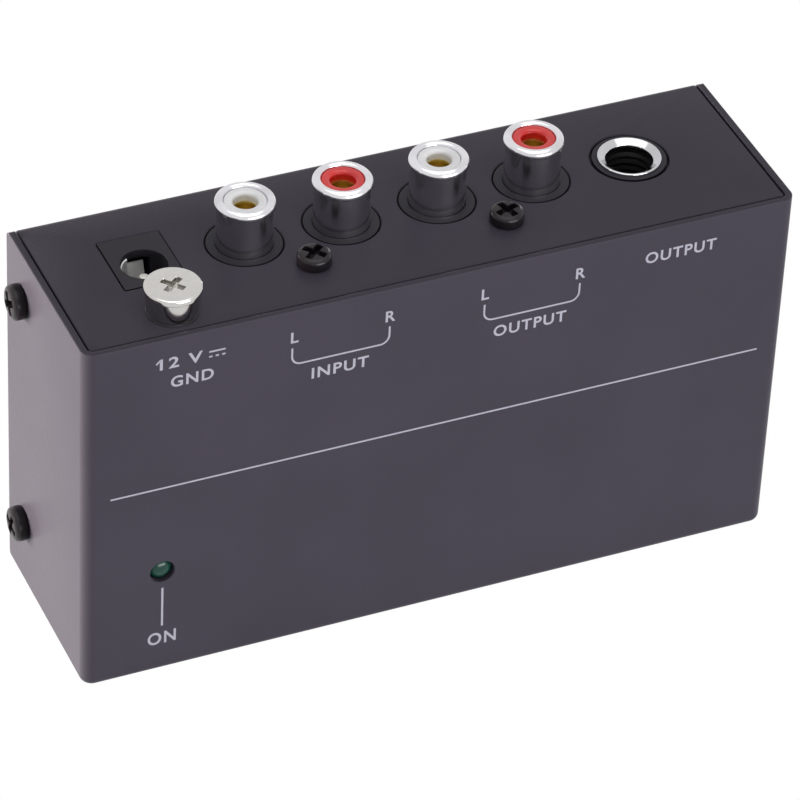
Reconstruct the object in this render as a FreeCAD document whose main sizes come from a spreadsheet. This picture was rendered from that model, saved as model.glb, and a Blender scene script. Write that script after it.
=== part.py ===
import FreeCAD, Part
import math
import os

import Sketcher
from FreeCAD import Rotation, Vector

# Phono preamp in a folded steel case, standing on one long narrow side with its jack panel on top.
# Millimetres. X runs along the case, the lettered face looks to -Y, Z is up.
# The origin is under the middle of the case, on the surface it stands on.

DRIVING_SIZES = {
    # case
    "case_width": 103.0, "case_depth": 30.0, "case_height": 57.0, "sheet": 1.0,
    "side_bend": 1.8, "bottom_bend": 1.2, "panel_bend": 1.1, "panel_gap": 0.25, "panel_drop": 0.1,
    "flange_depth": 11.0, "flange_inset": 4.0, "low_corner": 1.9, "high_corner": 1.0,
    # screws through the side walls
    "side_screw_back": 6.2, "side_screw_low": 11.1, "side_screw_down": 7.6, "side_screw_shank": 1.5,
    "side_screw_length": 4.0, "screw_head": 2.5, "screw_head_height": 1.9,
    "screw_clearance": 0.2, "thread_clearance": 0.02,
    # feet on the back
    "foot_radius": 4.0, "foot_height": 2.0, "foot_inset_x": 9.0, "foot_inset_z": 9.0,
    # board
    "board_side_gap": 2.75, "board_foot_gap": 3.0, "board_head_gap": 1.9, "board_thick": 1.6,
    "spacer_length": 4.4, "jack_centre": 6.5, "board_hole_inset": 2.6,
    "board_screw_shank": 1.25, "board_screw_head": 2.1, "spacer_radius": 2.3, "bore_edge": 0.35,
    # phono sockets
    "phono_pitch": 14.0, "phono_first": -22.7, "phono_hole": 5.4, "phono_block_width": 26.0,
    "phono_block_length": 11.0, "phono_block_front": 8.6, "phono_boss": 4.65, "phono_barrel": 3.9,
    "phono_rim": 4.15, "phono_rim_height": 1.1, "phono_reach": 7.3, "phono_wall": 0.75,
    "phono_bore": 1.65, "phono_contact_wall": 0.3, "phono_mouth": 4.0, "phono_depth": 13.0,
    "phono_screw_front": 7.5, "phono_screw_shank": 1.3, "phono_screw_length": 7.0,
    # headphone size jack
    "phone_x": 34.05, "phone_hole": 5.5, "phone_collar": 5.15, "phone_ferrule": 4.45, "phone_bore": 3.25,
    "phone_bore_clear": 0.25, "phone_end": 1.5, "anchor_half": 0.5,
    "phone_width": 15.0, "phone_length": 24.0, "phone_front": 7.0, "phone_ferrule_length": 4.0,
    "phone_ferrule_proud": 0.35, "phone_slot": 3.4, "spring_thick": 0.3, "spring_width": 2.6,
    "spring_reach": 0.45, "tip_spring_depth": 16.5, "ring_spring_depth": 11.0,
    # power socket
    "power_x": -36.95, "power_width": 8.7, "power_tall": 10.9, "power_length": 14.0, "power_bore": 3.25,
    "power_bore_depth": 10.0, "power_pin": 1.0, "power_pin_drop": 2.0, "power_cut_gap": 0.15,
    "power_slot": 1.9, "pin_point": 0.6, "ground_lug_half": 1.2, "head_edge": 0.3,
    # ground terminal
    "ground_x": -37.1, "ground_front": 5.6, "ground_head": 3.6, "ground_flange": 3.95,
    "ground_head_height": 3.8, "ground_flange_height": 0.8, "ground_washer_radius": 3.6,
    "ground_washer_thick": 0.5, "ground_shank": 1.95, "ground_shank_length": 8.2, "ground_nut_flat": 7.0,
    "ground_nut_height": 3.2, "ground_lug_thick": 0.5, "ground_lug_radius": 3.4, "ground_run": 0.05,
    "ground_recess_width": 1.1, "ground_recess_span": 3.7, "ground_recess_depth": 1.9,
    "ground_wire": 0.6, "ground_lug_tail": 6.6, "wire_clear": 2.4, "wire_drop": 6.0,
    # lamp
    "lamp_x": -40.2, "lamp_z": 17.6, "lamp_radius": 1.5, "lamp_hole": 1.75, "lamp_length": 5.3,
    "lamp_flange": 1.9, "lamp_flange_thick": 1.0, "lamp_drop": 0.2, "lead_side": 0.5, "lead_pitch": 2.54,
    # parts on the board
    "tall_can_radius": 4.0, "tall_can_height": 11.0, "small_can_radius": 2.5, "small_can_height": 7.0,
    "can_row_up": 10.0, "can_gap": 1.5, "lamp_clear": 10.0,
    "film_long": 7.2, "film_wide": 2.6, "film_tall": 6.5, "film_below": 5.0, "chip_long": 9.6,
    "chip_wide": 6.4, "chip_tall": 3.3, "chip_standoff": 0.6, "chip_leg": 0.5, "chip_pitch": 2.54,
    "chip_gap": 3.0, "resistor_radius": 1.15, "resistor_long": 6.2, "resistor_wire": 0.25,
    "resistor_span": 10.16, "resistor_lift": 1.5, "resistor_row": 3.0, "resistor_gap": 1.8,
    "regulator_radius": 2.4, "regulator_tall": 4.7, "regulator_lift": 3.0, "power_clear": 8.0,
}

doc = FreeCAD.newDocument("phono_preamp")
sheet = doc.addObject("Spreadsheet::Sheet", "Sizes")


class Size:
    """A length that keeps its number and the sheet formula behind it."""

    def __init__(self, number, formula=None):
        self.number = float(number)
        self.formula = formula or repr(float(number))

    def __add__(self, other):
        other = as_size(other)
        return Size(self.number + other.number, f"({self.formula} + {other.formula})")

    def __sub__(self, other):
        other = as_size(other)
        return Size(self.number - other.number, f"({self.formula} - {other.formula})")

    def __mul__(self, other):
        other = as_size(other)
        return Size(self.number * other.number, f"({self.formula} * {other.formula})")

    def __truediv__(self, other):
        other = as_size(other)
        return Size(self.number / other.number, f"({self.formula} / {other.formula})")

    def __radd__(self, other):
        return as_size(other) + self

    def __rsub__(self, other):
        return as_size(other) - self

    def __rmul__(self, other):
        return as_size(other) * self

    def __neg__(self):
        return Size(-self.number, f"(0 - {self.formula})")


def as_size(value):
    return value if isinstance(value, Size) else Size(value)


class Sizes:
    """Every driving size by its name."""


size = Sizes()
zero = Size(0)
for row, (name, number) in enumerate(DRIVING_SIZES.items(), start=1):
    sheet.set(f"A{row}", name)
    sheet.set(f"B{row}", str(number))
    sheet.setAlias(f"B{row}", name)
    setattr(size, name, Size(number, f"Sizes.{name}"))
doc.recompute()

pieces = {}
TURNS = {"X": Rotation(Vector(0, 1, 0), 90), "-X": Rotation(Vector(0, 1, 0), -90),
         "Y": Rotation(Vector(1, 0, 0), -90), "-Y": Rotation(Vector(1, 0, 0), 90),
         "Z": Rotation(), "-Z": Rotation(Vector(1, 0, 0), 180)}


def bind(thing, prop, value):
    """Give a property its number and, where there is one, its sheet formula."""
    value = as_size(value)
    thing.setExpression(prop, value.formula)


def put(thing, where, axis="Z"):
    """Place an object with its own Z turned to the named axis."""
    thing.Placement = FreeCAD.Placement(Vector(*[as_size(v).number for v in where]), TURNS[axis])
    for letter, value in zip("xyz", where):
        bind(thing, f"Placement.Base.{letter}", value)
    return thing


def keep(thing, label):
    """Name an object as a finished piece of the assembly."""
    thing.Label = label
    pieces[label] = thing
    return thing


def box(name, low, high):
    """A block between two corners."""
    block = doc.addObject("Part::Box", name)
    for prop, start, stop in zip(("Length", "Width", "Height"), low, high):
        bind(block, prop, as_size(stop) - start)
    return put(block, low)


def rod(name, start, axis, radius, length):
    """A cylinder from a start point along an axis."""
    cylinder = doc.addObject("Part::Cylinder", name)
    bind(cylinder, "Radius", radius)
    bind(cylinder, "Height", length)
    return put(cylinder, start, axis)


def cut(name, base, tools):
    """A piece with one or more tools taken away."""
    if len(tools) > 1:
        tool = doc.addObject("Part::MultiFuse", name + "_tools")
        tool.Shapes = tools
    else:
        tool = tools[0]
    result = doc.addObject("Part::Cut", name)
    result.Base = base
    result.Tool = tool
    return result


def fuse(name, shapes):
    result = doc.addObject("Part::MultiFuse", name)
    result.Shapes = shapes
    return result


def group(name, shapes):
    """Separate like solids that share one node."""
    result = doc.addObject("Part::Compound", name)
    result.Links = shapes
    return result


def rounded(name, base, radius, wanted):
    """Round the straight edges that the test picks, by its midpoint and direction."""
    doc.recompute()
    chosen = []
    for number, edge in enumerate(base.Shape.Edges, start=1):
        if len(edge.Vertexes) != 2:
            continue
        middle = (edge.Vertexes[0].Point + edge.Vertexes[1].Point) * 0.5
        along = (edge.Vertexes[1].Point - edge.Vertexes[0].Point).normalize()
        if wanted(middle, along):
            chosen.append((number, as_size(radius).number, as_size(radius).number))
    result = doc.addObject("Part::Fillet", name)
    result.Base = base
    result.Edges = chosen
    return result


def origin_plane(body, role):
    for feature in body.Origin.OriginFeatures:
        if feature.Role == role:
            return feature
    return None


def outline(body, name, role, points):
    """A closed sketch of straight edges on one of the body's planes, each corner bound to sizes."""
    sketch = body.newObject("Sketcher::SketchObject", name)
    sketch.AttachmentSupport = (origin_plane(body, role), [""])
    sketch.MapMode = "FlatFace"
    corners = [(as_size(u), as_size(v)) for u, v in points]
    count = len(corners)
    for index in range(count):
        start = corners[index]
        stop = corners[(index + 1) % count]
        sketch.addGeometry(Part.LineSegment(Vector(start[0].number, start[1].number, 0),
                                            Vector(stop[0].number, stop[1].number, 0)), False)
    for index in range(count):
        sketch.addConstraint(Sketcher.Constraint("Coincident", index, 2, (index + 1) % count, 1))
    for index, corner in enumerate(corners):
        for kind, axis, value in (("DistanceX", -2, corner[0]), ("DistanceY", -1, corner[1])):
            if value.formula == "0.0":
                sketch.addConstraint(Sketcher.Constraint("PointOnObject", index, 1, axis))
                continue
            spot = sketch.addConstraint(Sketcher.Constraint(kind, -1, 1, index, 1, value.number))
            sketch.setExpression(f"Constraints[{spot}]", value.formula)
    return sketch


def turned(name, profile, where, axis="Z"):
    """A piece turned on a lathe: its half section, radius and height, swept round its own Z."""
    body = doc.addObject("PartDesign::Body", name)
    sketch = outline(body, name + "_section", "XZ_Plane", profile)
    revolution = body.newObject("PartDesign::Revolution", name + "_turn")
    revolution.Profile = sketch
    revolution.ReferenceAxis = (sketch, ["V_Axis"])
    revolution.Angle = 360
    return put(body, where, axis)


def cross_recess(name, where, axis, width, span, depth):
    """The two crossing slots of a driver recess, sunk from the top of a head."""
    slots = []
    for suffix, along, across in (("a", span, width), ("b", width, span)):
        slot = doc.addObject("Part::Box", f"{name}_{suffix}")
        bind(slot, "Length", along)
        bind(slot, "Width", across)
        bind(slot, "Height", depth)
        slots.append(slot)
    crossed = fuse(name, slots)
    for slot, along, across in zip(slots, (span, width), (width, span)):
        put(slot, (-as_size(along) / 2, -as_size(across) / 2, -as_size(depth)))
    return put(crossed, where, axis)


def pan_screw(name, seat, axis, shank, length, head, head_height):
    """A pan head machine screw: its shank runs down its axis from the seat, its head stands up."""
    shoulder = head_height * 0.45
    return turned(name, [(zero, -length), (shank, -length), (shank, zero), (head, zero), (head, shoulder),
                         (head * 0.74, head_height), (zero, head_height)], seat, axis)


# Shared places worked out from the driving sizes
half_width = size.case_width / 2
half_depth = size.case_depth / 2
panel_top = size.case_height - size.panel_drop
panel_under = panel_top - size.sheet
base_inside = half_depth - size.sheet
wall_inside = half_width - size.sheet
tray_half = wall_inside - size.panel_gap
board_back = base_inside - size.spacer_length
board_face = board_back - size.board_thick
jack_row = board_face - size.jack_centre
ground_y = size.ground_front - half_depth
side_screw_y = half_depth - size.side_screw_back
screw_heights = (size.side_screw_low, size.case_height - size.side_screw_down)
small_gap = Size(0.05)
past = Size(1)

phono_x = [size.phono_first + size.phono_pitch * count for count in range(4)]
block_x = [(phono_x[0] + phono_x[1]) / 2, (phono_x[2] + phono_x[3]) / 2]
phono_screw_y = jack_row - size.phono_screw_front
phone_centre = (size.phone_x, jack_row)
power_back = board_face - size.power_cut_gap
power_front = power_back - size.power_tall

# Cover: one sheet folded into the lettered front, both sides and the bottom
outer = box("cover_outer", (-half_width, -half_depth, zero), (half_width, half_depth, size.case_height))


def upright_front(middle, along):
    return abs(along.z) > 0.9 and middle.y < 0


def bottom_fold(middle, along):
    return middle.z < 0.01 and (abs(along.y) > 0.9 or middle.y < 0)


def low_back(middle, along):
    return abs(along.x) > 0.9 and middle.y > 0 and middle.z < size.sheet.number + 0.01


def high_back(middle, along):
    return abs(along.x) > 0.9 and middle.y > 0 and middle.z > size.case_height.number - 0.01


outer = rounded("cover_outer_sides", outer, size.side_bend, upright_front)
outer = rounded("cover_outer_bottom", outer, size.bottom_bend, bottom_fold)
outer = rounded("cover_outer_low_back", outer, size.low_corner, low_back)
outer = rounded("cover_outer_high_back", outer, size.high_corner, high_back)
inner = box("cover_inner", (-wall_inside, size.sheet - half_depth, size.sheet),
            (wall_inside, half_depth + past, size.case_height + past))
inner = rounded("cover_inner_sides", inner, size.side_bend - size.sheet, upright_front)
cover_cuts = [inner]
for side, axis in ((-1, "-X"), (1, "X")):
    for height in screw_heights:
        cover_cuts.append(rod("cover_screw_hole", ((wall_inside - past) * side, side_screw_y, height), axis,
                              size.side_screw_shank + size.screw_clearance, size.sheet + past * 2))
cover_cuts.append(rod("cover_lamp_hole", (size.lamp_x, past - half_depth + size.sheet, size.lamp_z), "-Y",
                      size.lamp_hole, size.sheet + past * 2))
keep(cut("cover", outer, cover_cuts), "cover_shell")

# Chassis: jack panel folded at the back into the base plate, with a flange down each side
tray_bottom = size.sheet + size.panel_gap
tray_front = size.sheet - half_depth + size.panel_gap
tray = fuse("tray_sheet", [
    box("tray_panel", (-tray_half, tray_front, panel_under), (tray_half, half_depth, panel_top)),
    box("tray_base", (-tray_half, base_inside, tray_bottom), (tray_half, half_depth, panel_top))])
tray.Refine = True


def panel_fold(middle, along):
    return abs(along.x) > 0.9 and middle.y > half_depth.number - 0.01 and middle.z > panel_top.number - 0.01


tray = rounded("tray_folded", tray, size.panel_bend, panel_fold)
flange_low = size.sheet + size.flange_inset
flange_high = panel_under - size.flange_inset / 2
flanges = [box("tray_flange", (x, half_depth - size.flange_depth, flange_low),
               (x + size.sheet, base_inside, flange_high)) for x in (-tray_half, tray_half - size.sheet)]
tray = fuse("tray_with_flanges", [tray] + flanges)
tray_cuts = []
for side, axis in ((-1, "-X"), (1, "X")):
    for height in screw_heights:
        thread_start = ((tray_half - size.sheet - past) * side, side_screw_y, height)
        tray_cuts.append(rod("tray_thread", thread_start, axis,
                             size.side_screw_shank + size.thread_clearance, size.sheet + past * 2))
through = size.sheet + 2
for x in phono_x:
    tray_cuts.append(rod("tray_phono_hole", (x, jack_row, panel_under - past), "Z", size.phono_hole,
                         through))
for x in block_x:
    tray_cuts.append(rod("tray_jack_screw_hole", (x, phono_screw_y, panel_under - past), "Z",
                         size.phono_screw_shank + size.screw_clearance, through))
tray_cuts.append(rod("tray_phone_hole", (*phone_centre, panel_under - past), "Z", size.phone_hole, through))
tray_cuts.append(rod("tray_ground_hole", (size.ground_x, ground_y, panel_under - past), "Z",
                     size.ground_shank + size.screw_clearance, through))
power_half = size.power_width / 2
power_gap = size.power_cut_gap
tray_cuts.append(box("tray_power_cut",
                     (size.power_x - power_half - power_gap, power_front - power_gap, panel_under - past),
                     (size.power_x + power_half + power_gap, power_back + power_gap, panel_top + past)))
keep(cut("tray", tray, tray_cuts), "chassis_tray")

# Screws through the sides, two a side
for side, axis, label in ((-1, "-X", "cover_screws_left"), (1, "X", "cover_screws_right")):
    screws = [pan_screw(f"{label}_{count}", ((half_width + small_gap) * side, side_screw_y, height), axis,
                        size.side_screw_shank, size.side_screw_length, size.screw_head,
                        size.screw_head_height) for count, height in enumerate(screw_heights)]
    keep(group(label, screws), label)

# Feet under the base plate
foot_x = half_width - size.foot_inset_x
foot_heights = (size.foot_inset_z, size.case_height - size.foot_inset_z)
feet = [turned("foot", [(zero, zero), (size.foot_radius, zero),
                        (size.foot_radius, size.foot_height * 0.4),
                        (size.foot_radius * 0.8, size.foot_height), (zero, size.foot_height)],
               (x, half_depth, height), "Y") for x in (-foot_x, foot_x) for height in foot_heights]
keep(group("feet", feet), "rubber_feet")

# Circuit board on four spacers
board_half = tray_half - size.sheet - size.board_side_gap
board_low = size.sheet + size.board_foot_gap
board_top = panel_under - size.board_head_gap
board = box("board_blank", (-board_half, board_face, board_low), (board_half, board_back, board_top))
board_holes = [(x, height) for x in (size.board_hole_inset - board_half, board_half - size.board_hole_inset)
               for height in (board_low + size.board_hole_inset, board_top - size.board_hole_inset)]
board_screw_hole = size.board_screw_shank + size.screw_clearance
board_cuts = [rod("board_hole", (x, board_back + past, height), "-Y", board_screw_hole,
                  size.board_thick + past * 2)
              for x, height in board_holes]
keep(cut("board", board, board_cuts), "circuit_board")


def hexagon(name, where, axis, across_corners, length):
    """A six-sided bar along an axis, by its radius to the corners."""
    bar = doc.addObject("Part::Prism", name)
    bar.Polygon = 6
    bind(bar, "Circumradius", across_corners)
    bind(bar, "Height", length)
    return put(bar, where, axis)


spacers = [cut("spacer", hexagon("spacer_body", (x, board_back, height), "Y", size.spacer_radius,
                              size.spacer_length),
               [rod("spacer_bore", (x, board_back - past, height), "Y",
                    size.board_screw_shank + size.thread_clearance, size.spacer_length + 0.6)])
           for x, height in board_holes]
keep(group("spacers", spacers), "board_spacers")
screw_reach = size.board_thick + size.spacer_length * 0.7
board_screws = [turned("board_screw", [
    (zero, -screw_reach), (size.board_screw_shank, -screw_reach), (size.board_screw_shank, zero),
    (size.board_screw_head, zero), (size.board_screw_head, size.screw_head_height),
    (zero, size.screw_head_height)], (x, board_face - small_gap, height), "-Y")
    for x, height in board_holes]
keep(group("board_screw_set", board_screws), "board_screws")

# Phono sockets: a moulded block for each pair, and in it two shells, insulators and pin contacts
block_top = panel_under
boss_top = panel_top - 0.3
shell_top = panel_top + size.phono_reach
shell_low = block_top - size.phono_block_length + 1.5
insulator_radius = size.phono_barrel - size.phono_wall
well_low = shell_top - size.phono_depth
for pair, (label, x_middle) in enumerate(zip(("input", "output"), block_x)):
    half_block = size.phono_block_width / 2
    block = fuse(f"{label}_block_body", [
        box(f"{label}_block_box", (x_middle - half_block, jack_row - size.phono_block_front,
                                   block_top - size.phono_block_length),
            (x_middle + half_block, board_face, block_top))]
        + [rod(f"{label}_block_boss", (x, jack_row, block_top - past), "Z", size.phono_boss,
               boss_top - block_top + past) for x in phono_x[pair * 2:pair * 2 + 2]])
    block_cuts = [rod(f"{label}_block_bore", (x, jack_row, shell_low - size.thread_clearance), "Z",
                      size.phono_barrel + size.thread_clearance, shell_top - shell_low)
                  for x in phono_x[pair * 2:pair * 2 + 2]]
    block_cuts.append(rod(f"{label}_block_screw_hole",
                          (x_middle, phono_screw_y, block_top - size.phono_screw_length), "Z",
                          size.phono_screw_shank + size.thread_clearance, size.phono_screw_length + past))
    keep(cut(f"{label}_block", block, block_cuts), f"{label}_socket_block")
    for side, x in zip(("left", "right"), phono_x[pair * 2:pair * 2 + 2]):
        name = f"{label}_{side}"
        reach = shell_top - shell_low
        inside = insulator_radius + size.thread_clearance
        rim_low = reach - size.phono_rim_height
        keep(turned(f"{name}_shell", [
            (inside, zero), (size.phono_barrel, zero), (size.phono_barrel, rim_low),
            (size.phono_rim, rim_low + 0.25), (size.phono_rim, reach - size.head_edge),
            (size.phono_rim - size.head_edge, reach), (inside, reach)],
            (x, jack_row, shell_low)), f"{name}_shell")
        contact_outside = size.phono_bore + size.phono_contact_wall
        pocket = contact_outside + size.thread_clearance
        floor = well_low - shell_low
        mouth = reach - size.phono_mouth
        top = reach - 0.35
        keep(turned(f"{name}_insulator", [
            (zero, zero), (insulator_radius, zero), (insulator_radius, top),
            (size.phono_bore + size.bore_edge, top), (size.phono_bore, top - size.bore_edge),
            (size.phono_bore, mouth), (pocket, mouth), (pocket, floor), (zero, floor)],
            (x, jack_row, shell_low)), f"{name}_insulator")
        keep(turned(f"{name}_contact", [
            (zero, zero), (contact_outside, zero), (contact_outside, mouth - floor - 0.1),
            (size.phono_bore, mouth - floor - 0.1), (size.phono_bore, Size(0.5)), (zero, Size(0.5))],
            (x, jack_row, well_low + small_gap)), f"{name}_contact")
jack_screws = [pan_screw(f"jack_screw_{count}", (x, phono_screw_y, panel_top + small_gap), "Z",
                         size.phono_screw_shank, size.phono_screw_length, size.screw_head * 0.95,
                         size.screw_head_height) for count, x in enumerate(block_x)]
keep(group("jack_screw_pair", jack_screws), "jack_screws")


def leaf(name, bends, thickness, width, where, turn):
    """A spring leaf: a strip of one thickness bent through points, in its own X and Z, Y across."""
    across = Vector(0, 1, 0)
    start = -as_size(width).number / 2
    points = [Vector(as_size(u).number, start, as_size(v).number) for u, v in bends]
    runs = [(b - a).normalize() for a, b in zip(points, points[1:])]
    sides = [run.cross(across) for run in runs]
    half = as_size(thickness).number / 2
    offsets = [sides[0]] + [(a + b) * (1 / (1 + a.dot(b))) for a, b in zip(sides, sides[1:])] + [sides[-1]]
    ring = [p + o * half for p, o in zip(points, offsets)]
    ring += [p - o * half for p, o in reversed(list(zip(points, offsets)))]
    face = Part.Face(Part.makePolygon(ring + ring[:1]))
    feature = doc.addObject("Part::Feature", name)
    feature.Shape = face.extrude(across * as_size(width).number)
    feature.Placement = FreeCAD.Placement(Vector(*[as_size(v).number for v in where]),
                                          Rotation(Vector(0, 0, 1), turn))
    return feature


# Headphone size jack: moulded body on the board, chrome ferrule, one spring leaf on each side
phone_half = size.phone_width / 2
phone_low = panel_under - size.phone_length
ferrule_low = panel_top - size.phone_ferrule_length
housing = fuse("phone_body", [
    box("phone_box", (size.phone_x - phone_half, jack_row - size.phone_front, phone_low),
        (size.phone_x + phone_half, board_face, panel_under)),
    rod("phone_collar_rod", (*phone_centre, panel_under - past), "Z", size.phone_collar, size.sheet + past)])
slot_half = size.phone_slot / 2
slot_out = phone_half - 1.2
slot_ends = ((-slot_out, size.anchor_half - size.phone_bore), (size.phone_bore - size.anchor_half, slot_out))
slots = [box("phone_slot_cut", (size.phone_x + low, jack_row - slot_half, phone_low + size.phone_end),
             (size.phone_x + high, jack_row + slot_half, ferrule_low - 2)) for low, high in slot_ends]
keep(cut("phone_housing", housing, [
    rod("phone_bore_cut", (*phone_centre, phone_low - past), "Z", size.phone_bore + size.phone_bore_clear,
        size.phone_length + 5),
    rod("phone_ferrule_seat", (*phone_centre, ferrule_low), "Z",
        size.phone_ferrule + size.thread_clearance, size.phone_ferrule_length + 3)] + slots),
     "phone_jack_housing")
ferrule_reach = size.phone_ferrule_length + size.phone_ferrule_proud
keep(turned("phone_ferrule", [
    (size.phone_bore, small_gap), (size.phone_ferrule, small_gap), (size.phone_ferrule, ferrule_reach),
    (size.phone_ferrule - 0.6, ferrule_reach),
    (size.phone_bore, ferrule_reach - 0.9)], (*phone_centre, ferrule_low)), "phone_jack_ferrule")
spring_root = phone_low + 3
spring_seat = size.phone_bore + 2.4
for side, label, depth in ((-1, "tip", size.tip_spring_depth), (1, "ring", size.ring_spring_depth)):
    nose = panel_top - depth - spring_root
    inward = size.phone_bore - size.spring_reach + size.spring_thick / 2
    keep(leaf(f"phone_{label}_spring", [
        (spring_seat, zero), (spring_seat, Size(1)), (size.phone_bore + 1, nose - 1.6), (inward, nose),
        (size.phone_bore + 1.1, nose + 1.8)], size.spring_thick, size.spring_width,
        (size.phone_x, jack_row, spring_root), 0 if side > 0 else 180), f"phone_jack_{label}_spring")
    keep(box(f"phone_{label}_anchor",
             (size.phone_x + (spring_seat if side > 0 else -spring_seat) - size.anchor_half, jack_row - 1.2,
              phone_low + size.phone_end),
             (size.phone_x + (spring_seat if side > 0 else -spring_seat) + size.anchor_half, jack_row + 1.2,
              spring_root - 0.1)), f"phone_jack_{label}_anchor")

# Power socket: moulded body on the board, centre pin, and a spring at the side of the bore
power_low = panel_top - size.power_length
power_centre = (size.power_x, jack_row)
power_floor = panel_top - size.power_bore_depth
keep(cut("power_housing", box("power_box", (size.power_x - power_half, power_front, power_low),
                              (size.power_x + power_half, power_back, panel_top)), [
    rod("power_bore_cut", (*power_centre, power_floor), "Z", size.power_bore, size.power_bore_depth + past),
    rod("power_pin_hole", (*power_centre, power_low - past), "Z", size.power_pin + size.thread_clearance,
        size.power_length),
    box("power_slot_cut",
        (size.power_x - size.power_slot, jack_row + size.power_bore - 0.7, power_floor - past),
        (size.power_x + size.power_slot, power_back - size.sheet, panel_top - 1.2))]), "power_socket_housing")
pin_long = size.power_length - size.power_pin_drop
keep(turned("power_pin", [(zero, zero), (size.power_pin, zero), (size.power_pin, pin_long - size.pin_point),
                          (size.power_pin * 0.6, pin_long), (zero, pin_long)],
            (*power_centre, power_low)), "power_socket_pin")
keep(leaf("power_spring", [(size.power_bore + 1.2, zero), (size.power_bore + 1.0, Size(2.5)),
                           (size.power_bore - 0.25, Size(5.6)), (size.power_bore + 0.7, Size(8.4))],
          size.spring_thick, size.spring_width, (*power_centre, power_floor - 0.7), 90),
     "power_socket_spring")

# Ground terminal: nut and lug behind the panel, washer and screw in front
ground = (size.ground_x, ground_y)
shank_hole = size.ground_shank + size.ground_run
lug_under = panel_under - size.ground_lug_thick
lug = fuse("ground_lug_sheet", [
    rod("ground_lug_ring", (*ground, lug_under), "Z", size.ground_lug_radius, size.ground_lug_thick),
    box("ground_lug_tail", (size.ground_x + size.ground_lug_half, ground_y - size.ground_lug_half, lug_under),
        (size.ground_x + size.ground_lug_tail, ground_y + size.ground_lug_half, panel_under))])
keep(cut("ground_lug_cut", lug, [rod("ground_lug_hole", (*ground, lug_under - past), "Z", shank_hole,
                                     size.ground_lug_thick + past * 2)]), "ground_lug")
nut_body = hexagon("ground_nut_prism", (*ground, lug_under - size.ground_nut_height), "Z",
                   size.ground_nut_flat / math.sqrt(3), size.ground_nut_height)
nut_bore = rod("ground_nut_bore", (*ground, lug_under - size.ground_nut_height - past), "Z", shank_hole,
               size.ground_nut_height + past * 2)
keep(cut("ground_nut_cut", nut_body, [nut_bore]), "ground_nut")
washer_low = panel_top + small_gap
washer = rod("ground_washer_disc", (*ground, washer_low), "Z", size.ground_washer_radius,
             size.ground_washer_thick)
washer_bore = rod("ground_washer_bore", (*ground, washer_low - past), "Z", shank_hole,
                  size.ground_washer_thick + past * 2)
keep(cut("ground_washer_cut", washer, [washer_bore]), "ground_washer")
ground_seat = washer_low + size.ground_washer_thick + small_gap
flange_low_edge = size.ground_head_height - size.ground_flange_height
ground_blank = turned("ground_screw_blank", [
    (zero, -size.ground_shank_length), (size.ground_shank, -size.ground_shank_length),
    (size.ground_shank, zero), (size.ground_head, zero), (size.ground_head, flange_low_edge),
    (size.ground_flange, flange_low_edge), (size.ground_flange, size.ground_head_height - size.head_edge),
    (size.ground_flange - size.head_edge, size.ground_head_height), (zero, size.ground_head_height)],
    (*ground, ground_seat))
keep(cut("ground_screw_cut", ground_blank, [
    cross_recess("ground_recess", (*ground, ground_seat + size.ground_head_height), "Z",
                 size.ground_recess_width, size.ground_recess_span, size.ground_recess_depth)]),
     "ground_screw")

# Ground wire: from the lug's tail down and back to the board, straight runs joined by arcs.
# Its section is a regular polygon on the wire's circle.
WIRE_SIDES = 8
wire_start = (size.ground_x + size.ground_lug_tail - size.ground_wire * 2, ground_y, lug_under)
wire_stop = (size.power_x + power_half + size.wire_clear, board_face, power_low - size.wire_clear / 2)
route = [Vector(*[as_size(v).number for v in corner]) for corner in (
    wire_start,
    (wire_start[0], wire_start[1], lug_under - size.wire_drop),
    (wire_stop[0], (wire_start[1] + wire_stop[1] - size.wire_clear) / 2, wire_stop[2]),
    wire_stop)]
edges = []
here = route[0]
wire_length = 0.0
for before, corner, after in zip(route, route[1:], route[2:]):
    arriving = (corner - before).normalize()
    leaving = (after - corner).normalize()
    turn = arriving.getAngle(leaving)
    run = min((corner - before).Length, (after - corner).Length)
    radius = 0.45 * run / math.tan(turn / 2)
    setback = radius * math.tan(turn / 2)
    first = corner - arriving * setback
    last = corner + leaving * setback
    centre = first + (leaving - arriving * arriving.dot(leaving)).normalize() * radius
    middle = centre + (corner - centre).normalize() * radius
    edges += [Part.LineSegment(here, first).toShape(), Part.Arc(first, middle, last).toShape()]
    wire_length += (first - here).Length + radius * turn
    here = last
    print(f"ground wire bend radius {radius:.2f} mm")
edges.append(Part.LineSegment(here, route[-1]).toShape())
wire_length += (route[-1] - here).Length
spine = Part.Wire(edges)
corners = [route[0] + Vector(math.cos(angle), math.sin(angle), 0) * size.ground_wire.number
           for angle in (math.radians(step * 360 / WIRE_SIDES) for step in range(WIRE_SIDES))]
section = Part.makePolygon(corners + corners[:1])
ground_wire = doc.addObject("Part::Feature", "ground_wire_tube")
ground_wire.Shape = spine.makePipeShell([section], True, False)
section_area = WIRE_SIDES / 2 * math.sin(math.radians(360 / WIRE_SIDES)) * size.ground_wire.number ** 2
expected = section_area * wire_length
print(f"ground wire volume {ground_wire.Shape.Volume:.3f} of {expected:.3f}")
keep(ground_wire, "ground_wire")

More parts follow.
